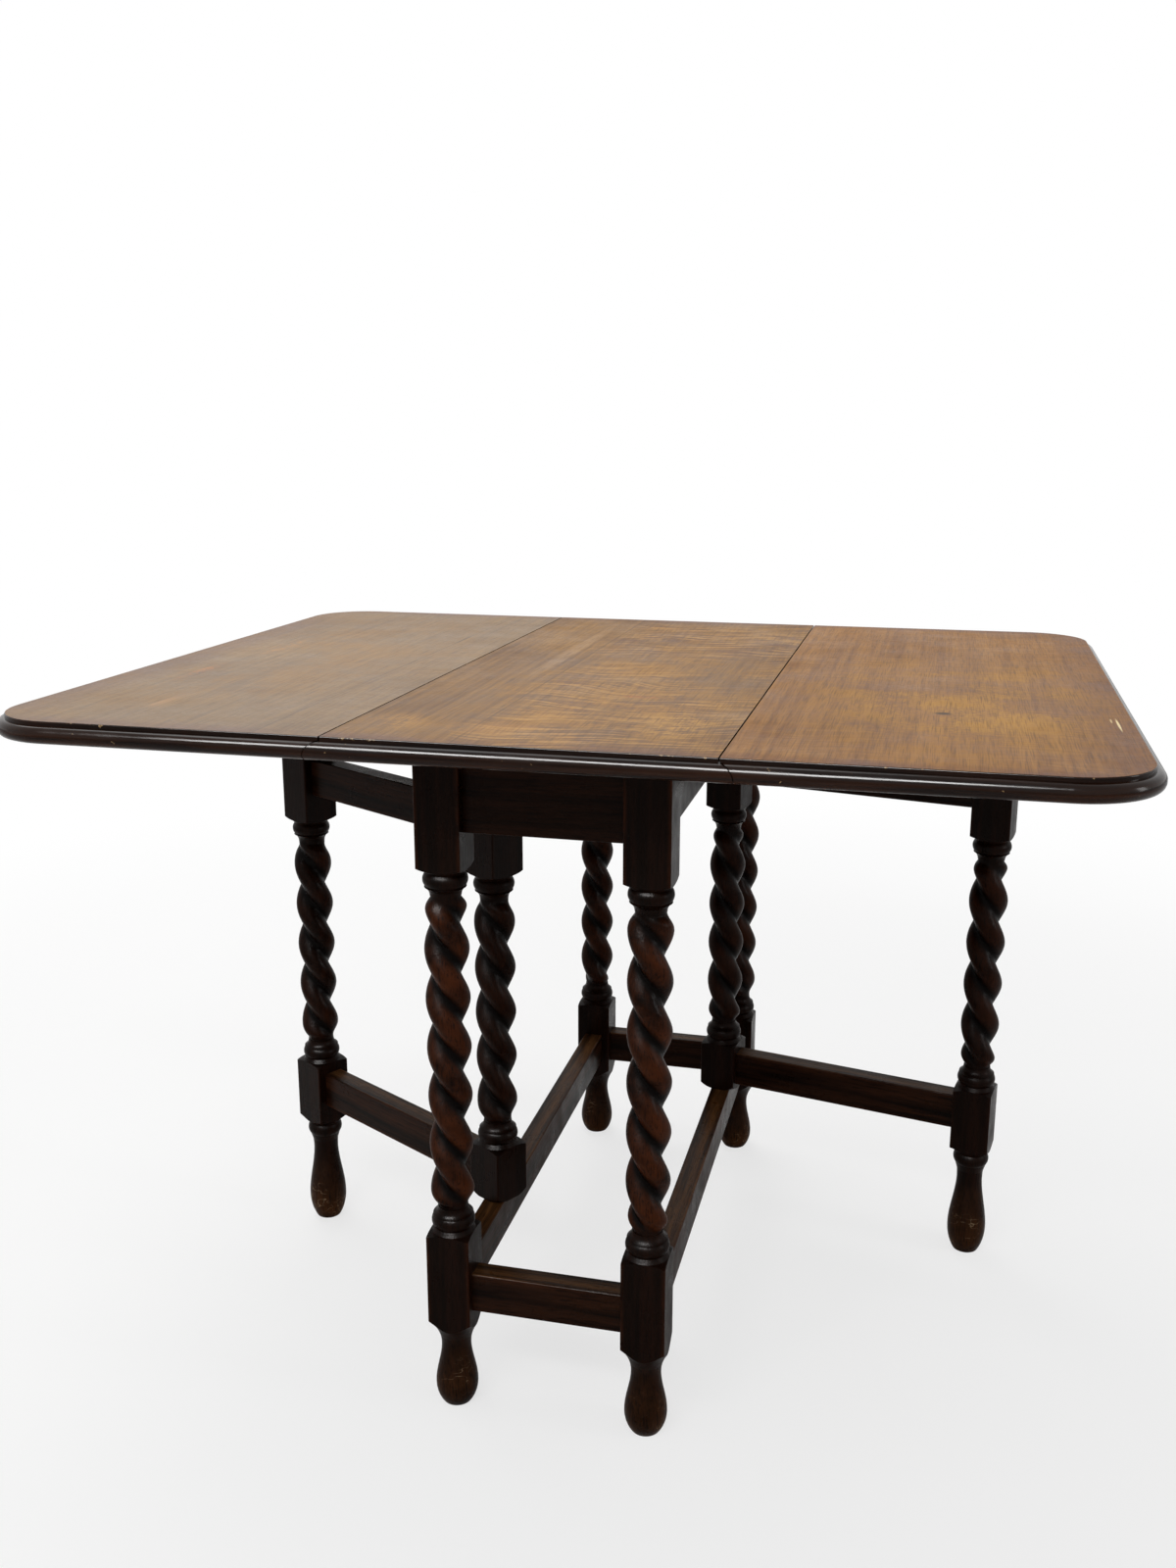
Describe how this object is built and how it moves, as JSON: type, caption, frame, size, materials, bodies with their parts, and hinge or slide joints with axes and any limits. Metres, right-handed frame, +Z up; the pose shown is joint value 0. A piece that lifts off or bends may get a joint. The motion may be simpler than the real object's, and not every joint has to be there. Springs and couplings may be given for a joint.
{
  "type": "drop-leaf gate-leg dining table",
  "caption": "Oak gate-leg dining table with rule-jointed drop leaves, moulded top edge, barley-twist legs, stretchers and swinging gates, shown with both leaves raised.",
  "frame": {"origin": "on the floor, under the middle of the open top", "axes": "+X along the open table from the left leaf to the right leaf, +Y away from the front apron, +Z up"},
  "size_m": [1.069, 0.856, 0.73],
  "materials": {
    "top_oak": "worn wax polish",
    "frame_oak": "dark stain, semi-gloss",
    "hinge_brass": "aged",
    "screw_steel": "darkened"
  },
  "bodies": {
    "frame": {"centre_top": "top_oak", "front_left_leg": "frame_oak", "front_right_leg": "frame_oak", "back_left_leg": "frame_oak", "back_right_leg": "frame_oak", "front_apron": "frame_oak", "back_apron": "frame_oak", "left_side_rail": "frame_oak", "right_side_rail": "frame_oak", "front_stretcher": "frame_oak", "back_stretcher": "frame_oak", "left_stretcher": "frame_oak", "right_stretcher": "frame_oak", "top_fixing_screws": "screw_steel", "left_hinge_top_plates": "hinge_brass", "right_hinge_top_plates": "hinge_brass", "left_hinge_pins": "hinge_brass", "right_hinge_pins": "hinge_brass", "top_hinge_screws": "screw_steel"},
    "left_leaf": {"left_leaf": "top_oak", "left_hinge_leaf_plates": "hinge_brass", "left_leaf_hinge_screws": "screw_steel"},
    "left_gate": {"left_gate_leg": "frame_oak", "left_gate_post": "frame_oak", "left_gate_top_rail": "frame_oak", "left_gate_bottom_rail": "frame_oak", "left_gate_top_pivot": "frame_oak", "left_gate_bottom_pivot": "frame_oak"},
    "right_leaf": {"right_leaf": "top_oak", "right_hinge_leaf_plates": "hinge_brass", "right_leaf_hinge_screws": "screw_steel"},
    "right_gate": {"right_gate_leg": "frame_oak", "right_gate_post": "frame_oak", "right_gate_top_rail": "frame_oak", "right_gate_bottom_rail": "frame_oak", "right_gate_top_pivot": "frame_oak", "right_gate_bottom_pivot": "frame_oak"}
  },
  "joints": [
    {"name": "left_gate_swing", "type": "hinge", "parent": "frame", "child": "left_gate", "pos_m": [-0.101, -0.16, 0.155], "axis": [0, 0, 1], "range_deg": [-53.55, 29.45]},
    {"name": "right_gate_swing", "type": "hinge", "parent": "frame", "child": "right_gate", "pos_m": [0.101, 0.18, 0.155], "axis": [0, 0, 1], "range_deg": [-71.3, 11.7]},
    {"name": "left_leaf_hinge", "type": "hinge", "parent": "frame", "child": "left_leaf", "pos_m": [-0.1769, 0, 0.712], "axis": [0, 1, 0], "range_deg": [0, 3]},
    {"name": "right_leaf_hinge", "type": "hinge", "parent": "frame", "child": "right_leaf", "pos_m": [0.1769, 0, 0.712], "axis": [0, -1, 0], "range_deg": [0, 3]}
  ]
}
